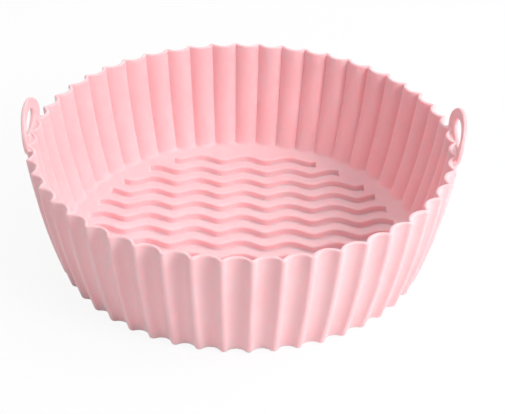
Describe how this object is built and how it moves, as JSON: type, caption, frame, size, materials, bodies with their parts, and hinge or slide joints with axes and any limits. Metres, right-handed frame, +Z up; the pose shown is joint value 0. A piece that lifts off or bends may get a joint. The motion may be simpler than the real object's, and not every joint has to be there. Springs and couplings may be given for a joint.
{
  "type": "air fryer liner",
  "caption": "Round fluted silicone basket liner with a wavy grooved floor and two raised ear handles with finger slots.",
  "frame": {"origin": "centre of the underside, on the surface that the liner stands on", "axes": "+Z up along the bowl's axis, +X through the middle of one ear"},
  "size_m": [0.2048, 0.1994, 0.0721],
  "materials": {
    "silicone": "satin"
  },
  "bodies": {
    "root": {"liner": "silicone"}
  },
  "joints": []
}
